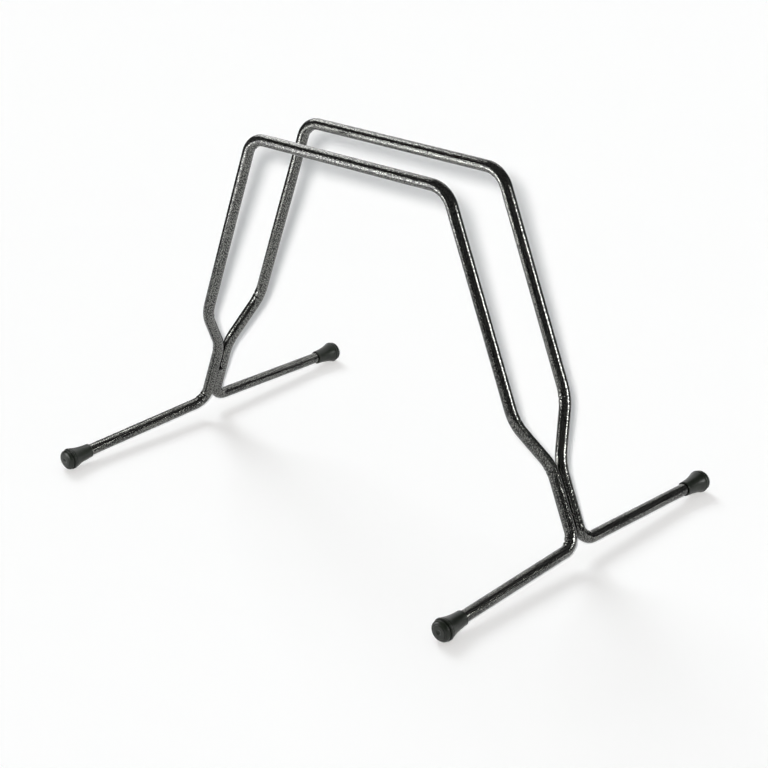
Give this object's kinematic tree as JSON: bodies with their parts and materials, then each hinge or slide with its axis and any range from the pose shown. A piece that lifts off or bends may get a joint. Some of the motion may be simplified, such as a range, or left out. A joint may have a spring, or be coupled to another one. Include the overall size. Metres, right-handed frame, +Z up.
{
  "type": "floor bike rack",
  "caption": "Floor rack that holds a bicycle wheel upright between parallel bent-tube hoops, welded together low down, with legs spread out to bell-shaped rubber feet.",
  "frame": {"origin": "on the floor, in the middle between the four feet", "axes": "+X along the wheel, +Y across it to the rear hoop, +Z up"},
  "size_m": [0.5392, 0.3984, 0.3507],
  "materials": {
    "hammertone_enamel": "glossy hammertone enamel, dark grey, over bent steel tube and its welds",
    "black_rubber": "moulded black rubber, satin",
    "zinc_steel": "zinc-plated steel, hidden inside the ferrules"
  },
  "bodies": {
    "root": {"front_hoop": "hammertone_enamel", "rear_hoop": "hammertone_enamel", "left_weld": "hammertone_enamel", "right_weld": "hammertone_enamel", "front_left_ferrule": "black_rubber", "front_right_ferrule": "black_rubber", "rear_left_ferrule": "black_rubber", "rear_right_ferrule": "black_rubber", "front_left_washer": "zinc_steel", "front_right_washer": "zinc_steel", "rear_left_washer": "zinc_steel", "rear_right_washer": "zinc_steel"}
  },
  "joints": []
}
